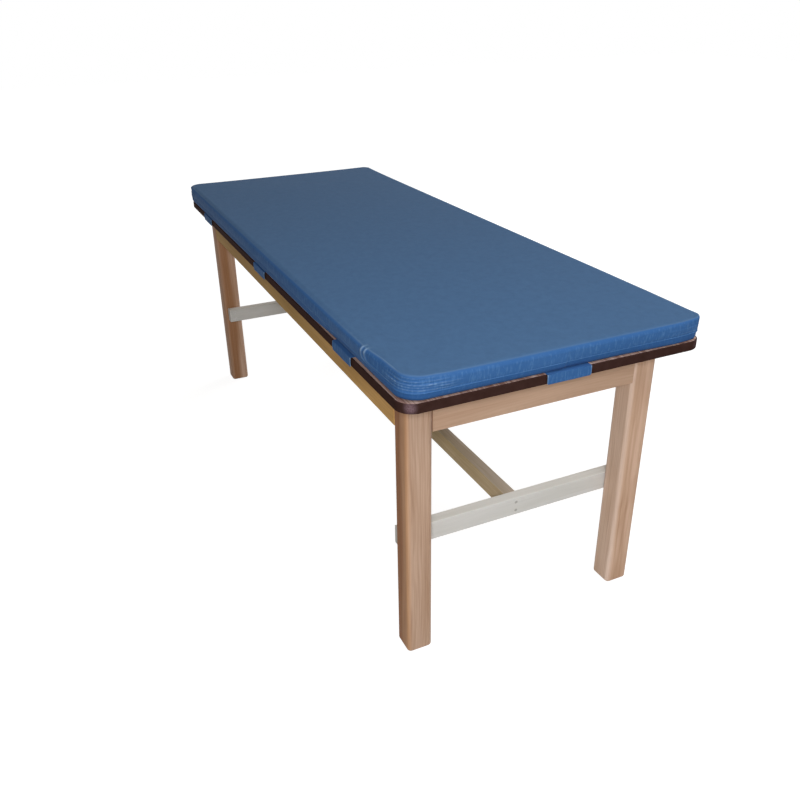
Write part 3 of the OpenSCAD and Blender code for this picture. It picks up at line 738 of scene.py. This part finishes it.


# The stretch attribute holds painted highlights: on the crests of the rolls and in a thin line along the rim
stretch = mat.data.attributes.new("stretch", "FLOAT", "POINT")
for vert in mat.data.vertices:
    x, y = vert.co.x - mat_middle.x, vert.co.y - mat_middle.y
    z = vert.co.z - mat_low.z
    depth = edge_depth(x, y)
    if depth > 0.03 or z < seam_height:
        continue
    side = ease(seam_height, seam_height + 0.003, z) * (1 - 0.7 * ease(rim_height - 0.003, rim_height, z))
    side *= 1 - ease(0.004, 0.02, depth)
    fold, pale = rolls_at(x, y, z)
    over_x = past_corner(x, y)[1]
    # A thin painted highlight along the rim, strongest on the right side
    rim_highlight = math.exp(-((z - rim_height) / 0.002) ** 2) * (1 - ease(0.003, 0.006, depth))
    rim_highlight *= 0.1 + 0.2 * ease(0.01, -0.03, over_x) * ease(-0.3, -0.35, y)
    stretch.data[vert.index].value = max(side * 0.8 * pale, rim_highlight)
    vert.co += outward(x, y) * side * (fold_rise * fold + rib_rise * ribs_at(x, y, z))

# The cover is pulled in towards the front corners: places along it, and how far its sides and its
# front end come in there
pull_places = [0.6, 0.79, 0.83, 0.87, 0.925, 1.0]
right_pull = [0, 0, 0.003, 0.008, 0.01, 0.012]
left_pull = [0, 0.001, 0.003, 0.005, 0.008, 0.0105]
end_pull = 0.0025
for vert in mat.data.vertices:
    pull = float(np.interp(vert.co.x, pull_places, right_pull if vert.co.y < 0 else left_pull))
    sideways = vert.co.y / (mat_width / 2)
    height = vert.co.z - mat_low.z
    rise = 1 if vert.co.y > 0 else ease(0.002, rim_height, height)
    vert.co.y -= pull * rise * sideways * abs(sideways)
    at_front = ease(0.9, 1, vert.co.x)
    corner_pull = 0.006 * ease(0.29, 0.375, vert.co.y) + 0.004 * ease(-0.27, -0.34, vert.co.y)
    vert.co.x -= (end_pull + corner_pull) * rise * at_front

mat.data.materials.append(mat_vinyl)
for face in mat.data.polygons:
    face.use_smooth = True
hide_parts("mat_cover", "mat_base", "mat_foam")
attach(mat, "mat")


def ring_from_row(height, name):
    """A closed curve that follows the row of the mat's wall at a height."""
    bpy.ops.object.select_all(action="DESELECT")
    mat.select_set(True)
    bpy.context.view_layer.objects.active = mat
    bpy.ops.object.mode_set(mode="EDIT")
    bpy.ops.mesh.select_all(action="DESELECT")
    shape = bmesh.from_edit_mesh(mat.data)
    for edge in shape.edges:
        edge.select_set(all(abs(vert.co.z - mat_low.z - height) < 0.00045 for vert in edge.verts))
    bmesh.update_edit_mesh(mat.data)
    bpy.ops.mesh.duplicate()
    bpy.ops.mesh.separate(type="SELECTED")
    bpy.ops.object.mode_set(mode="OBJECT")
    ring = [obj for obj in bpy.context.selected_objects if obj != mat][0]
    ring.name = name
    mat.select_set(False)
    bpy.context.view_layer.objects.active = ring
    bpy.ops.object.convert(target="CURVE")
    return bpy.context.object


# The welt is a thin vinyl cord sewn into the seam
welt = ring_from_row(seam_height, "mat_welt")
welt.data.bevel_depth = 0.0009
welt.data.bevel_resolution = 2
bpy.ops.object.convert(target="MESH")
welt.data.materials.clear()
welt.data.materials.append(vinyl("welt_vinyl", (0.045, 0.14, 0.35, 1), (0.07, 0.18, 0.41, 1), 0.5))
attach(welt, "mat")


# Straps.
# Eight short flaps of the same vinyl. Their roots are sewn under the mat, and each flap folds over
# the moulding, where a patch of loop tape on it meets one of hook tape glued to the moulding.

strap_vinyl = vinyl("strap_vinyl", (0.033, 0.11, 0.3, 1), (0.039, 0.12, 0.31, 1), 0.45)
strap_sides = {"front": -90, "rear": 90}
for part in ("front", "middle", "rear"):
    strap_sides["right_" + part] = 180
    strap_sides["left_" + part] = 0
low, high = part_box("strap_front")
strap_width = high.y - low.y
strap_thick = high.x - low.x
strap_fall = high.z - low.z - strap_thick / 2
hem = 0.0065
hem_corner = 0.004


def strap_frame(place):
    """From a strap's own axes, width along X and outwards along Y, to its fold on the table."""
    low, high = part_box("strap_" + place)
    turn = Matrix.Rotation(math.radians(strap_sides[place]), 4, "Z")
    outwards = turn @ Vector((0, 1, 0))
    fold = (low + high) / 2 + outwards * (abs((high - low).dot(outwards)) - strap_thick) / 2
    fold.z = high.z - strap_thick / 2
    return Matrix.Translation(fold) @ turn


def vinyl_sheet(name, width, length, thick, cells, rows):
    """A grid in the plane X and -Z that hangs from the origin, with round lower corners and thickness."""
    bpy.ops.object.select_all(action="DESELECT")
    bpy.ops.mesh.primitive_grid_add(x_subdivisions=cells, y_subdivisions=rows, size=1)
    sheet = bpy.context.object
    sheet.name = name
    for vert in sheet.data.vertices:
        x, fall = vert.co.x * width, (0.5 - vert.co.y) * length
        over_x, over_z = abs(x) - (width / 2 - hem_corner), fall - (length - hem_corner)
        if over_x > 0 and over_z > 0:
            reach = max(over_x, over_z)
            turn = math.atan2(over_z, over_x)
            x = math.copysign(width / 2 - hem_corner + reach * math.cos(turn), x)
            fall = length - hem_corner + reach * math.sin(turn)
        vert.co = Vector((x, 0, -fall))
    solid = sheet.modifiers.new("thickness", "SOLIDIFY")
    solid.thickness = thick
    solid.offset = 0
    bpy.ops.object.modifier_apply(modifier=solid.name)
    return sheet


flap = vinyl_sheet("flap", strap_width, strap_fall, strap_thick * 0.8, 56, 14)
bpy.ops.object.mode_set(mode="EDIT")
pick_faces(flap, lambda at, normal: normal.y < -0.9 and
           (abs(at.x) > strap_width / 2 - hem or at.z < -(strap_fall - hem)))
bpy.ops.mesh.extrude_region_move(TRANSFORM_OT_translate={"value": (0, -strap_thick * 0.3, 0)})
bpy.ops.object.mode_set(mode="OBJECT")
# The hem is turned to the outside; the flap bows a little and its fold is round
stretch = flap.data.attributes.new("stretch", "FLOAT", "POINT")
for vert in flap.data.vertices:
    fall = -vert.co.z
    x = vert.co.x
    vert.co.y = -vert.co.y
    bow = 0.0005 * math.sin(math.pi * min(1, fall / strap_fall))
    wave = 0.00035 * noise.noise(Vector((x * 45, fall * 60, 2.2))) * ease(0.001, 0.006, fall)
    vert.co.y += bow + wave
    vert.co.z -= 0.0006 * (1 - ease(0, 0.002, fall)) * ease(0.2, 1, abs(x) / (strap_width / 2)) ** 2
    # Painted highlights along the flap's side edges, strongest near its fold
    hem_highlight = ease(0.0025, 0.0008, strap_width / 2 - abs(x)) if abs(x) < strap_width / 2 else 1
    stretch.data[vert.index].value = hem_highlight * (0.4 + 0.55 * ease(0.007, 0.001, fall))
bpy.ops.object.mode_set(mode="EDIT")
bpy.ops.mesh.select_all(action="SELECT")
bpy.ops.mesh.normals_make_consistent(inside=False)
bpy.ops.object.mode_set(mode="OBJECT")
soften(flap, 0.0003)
flap.data.materials.append(strap_vinyl)
for place in strap_sides:
    piece = placed_copy(flap, "strap_flap_" + place, strap_frame(place))
    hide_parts("strap_" + place)
    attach(piece, f"strap_{place}_body")

# The roots lie flat under the mat
root_reach = 0.059
root = vinyl_sheet("root", strap_width, root_reach, strap_thick * 0.85, 40, 20)
for vert in root.data.vertices:
    inwards, x = -vert.co.z, vert.co.x
    wave = 0.0001 * noise.noise(Vector((x * 40, inwards * 50, 4.4)))
    vert.co = Vector((x, -strap_thick * 0.56 - inwards, vert.co.y + wave))
soften(root, 0.0003)
root.data.materials.append(strap_vinyl)
roots = [placed_copy(root, "root_" + place, strap_frame(place)) for place in strap_sides]
roots = joined(roots, "strap_roots_sewn")
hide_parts("strap_roots")
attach(roots, "mat")

# Hook tape and loop tape: a woven base with a plain selvedge round a field of fibres
tape, tree, shader = finish("hook_and_loop_tape", Roughness=0.95)
fuzz = mottling(tree, own_place(tree), 1800, 2)
colour = blend_colours(tree, fuzz, (0.012, 0.012, 0.014, 1), (0.04, 0.04, 0.045, 1))
coat(tree, shader, Base_Color=colour, Normal=embossed(tree, fuzz, 0.8, 0.0006))


def tape_patch(name, node, fibre_side):
    """A patch as large as the node's, with fibres that stand up on one side of it."""
    low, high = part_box(node)
    thick, width, height = high.x - low.x, high.y - low.y, high.z - low.z
    side_selvedge, end_selvedge = 0.0015, 0.001
    fold_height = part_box("strap_front")[1].z - strap_thick / 2
    patch = vinyl_sheet(name, width, height, thick * 0.55, 66, 10)
    for vert in patch.data.vertices:
        x, fall = vert.co.x, -vert.co.z
        in_field = abs(x) < width / 2 - side_selvedge and end_selvedge < fall < height - end_selvedge
        if in_field and vert.co.y * fibre_side > 0:
            fibre = 0.5 + noise.noise(Vector((x * 900, fall * 900, 6)))
            vert.co.y += fibre_side * thick * 0.45 * min(1, max(0, fibre))
        vert.co.y -= fibre_side * thick * 0.22
        vert.co.z += low.z + height - fold_height
    soften(patch, 0.00012, 1)
    patch.data.materials.append(tape)
    return patch


loop_low, loop_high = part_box("loop_patch_front")
fold_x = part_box("strap_front")[1].x - strap_thick / 2
loops = tape_patch("loops", "loop_patch_front", -1)
loops.data.transform(Matrix.Translation((0, (loop_low.x + loop_high.x) / 2 - fold_x, 0)))
for place in strap_sides:
    piece = placed_copy(loops, "loop_tape_" + place, strap_frame(place))
    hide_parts("loop_patch_" + place)
    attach(piece, f"strap_{place}_body")
hooks = tape_patch("hooks", "loop_patch_front", 1)
# A hook patch lies behind its loop patch, and is as thick
hook_shift = (loop_low.x - (loop_high.x - loop_low.x) / 2) - fold_x
hooks.data.transform(Matrix.Translation((0, hook_shift, 0)))
hook_tapes = [placed_copy(hooks, "hook_" + place, strap_frame(place)) for place in strap_sides]
hook_tapes = joined(hook_tapes, "hook_tapes")
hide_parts("hook_patches")
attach(hook_tapes, "table")
for master in (flap, root, loops, hooks):
    bpy.data.objects.remove(master)


# Floor and light.
# A plain white floor that keeps the table's shadow, a lamp behind and above the camera, a soft
# ceiling lamp, a wide fill from the far side, and an even white room.

def seen_straight(tree):
    """1 where the floor or the room is looked at, straight or in a reflection, and 0 where it lights."""
    ray = put(tree, "LightPath")
    seen = put(tree, "Math", {0: ray.outputs["Is Camera Ray"], 1: ray.outputs["Is Glossy Ray"]},
               operation="MAXIMUM").outputs[0]
    return put(tree, "Math", {0: seen, 1: ray.outputs["Is Transmission Ray"]}, operation="MAXIMUM").outputs[0]


bpy.ops.mesh.primitive_plane_add(size=30, location=(0, 0, 0))
floor = bpy.context.object
floor.name = "floor"
white_floor = bpy.data.materials.new("white_floor")
white_floor.use_nodes = True
tree = white_floor.node_tree
tree.nodes.clear()
shade = put(tree, "BsdfDiffuse", {"Color": (0.3, 0.3, 0.3, 1)}).outputs[0]
# Near the table the floor glows a little less, so that the shadow shows on it
away = put(tree, "VectorMath", {0: own_place(tree)}, operation="LENGTH").outputs["Value"]
glow = between(tree, band(tree, away, 1.2, 3.2), 0.9, 1)
glow = put(tree, "Emission", {"Color": (1, 1, 1, 1), "Strength": glow}).outputs[0]
shown = put(tree, "AddShader", {0: shade, 1: glow}).outputs[0]
plain = put(tree, "BsdfDiffuse", {"Color": (0.66, 0.61, 0.54, 1)}).outputs[0]
surface = put(tree, "MixShader", {0: seen_straight(tree), 1: plain, 2: shown}).outputs[0]
put(tree, "OutputMaterial", {"Surface": surface})
floor.data.materials.append(white_floor)

# Each lamp's name, place and target, its size in metres and its power in watts
lamps = [
    # The main lamp, behind and above the camera
    ("key_lamp", Vector((3.2, -1.42, 2.05)), Vector((0.5, 0, 0.6)), 0.6, 58),
    # A large soft ceiling lamp
    ("ceiling_lamp", Vector((1.9, 0.4, 2.9)), Vector((0.8, 0.1, 0.3)), 1.8, 31),
    # A wide fill on the rear end and the left side, which doesn't show in reflections
    ("fill_lamp", Vector((-2.1, 3.3, 1.5)), Vector((-0.2, 0, 0.5)), 2.4, 85),
]
for name, lamp_place, lamp_target, size, power in lamps:
    bpy.ops.object.light_add(type="AREA", location=lamp_place)
    lamp = bpy.context.object
    lamp.name = name
    lamp.rotation_euler = (lamp_target - lamp_place).to_track_quat("-Z", "Y").to_euler()
    lamp.data.size = size
    lamp.data.energy = power
    lamp.visible_glossy = name != "fill_lamp"

world = bpy.data.worlds.new("white_room")
bpy.context.scene.world = world
world.use_nodes = True
tree = world.node_tree
tree.nodes.clear()
room = put(tree, "Background", {"Color": (1, 0.95, 0.88, 1), "Strength": 0.15}).outputs[0]
white = put(tree, "Background", {"Color": (1, 1, 1, 1), "Strength": 1}).outputs[0]
surface = put(tree, "MixShader", {0: seen_straight(tree), 1: room, 2: white}).outputs[0]
put(tree, "OutputWorld", {"Surface": surface})


# Camera.
# It looks down along the table from in front of the right corner of the front end.

# The place in metres, the angles in radians
camera_place = (2.2175, -0.9399, 1.4435)
camera_turn = 1.14607
camera_tilt = 0.47314
camera_roll = -0.01685
bpy.ops.object.camera_add()
camera = bpy.context.object
camera.name = "camera"
camera.data.sensor_width = 36
camera.data.lens = 35.553
camera.matrix_world = (
    Matrix.Translation(camera_place)
    @ Matrix.Rotation(camera_turn, 4, "Z")
    @ Matrix.Rotation(math.pi / 2 - camera_tilt, 4, "X")
    @ Matrix.Rotation(camera_roll, 4, "Z")
)
bpy.context.scene.camera = camera
bpy.context.scene.view_settings.view_transform = "Standard"
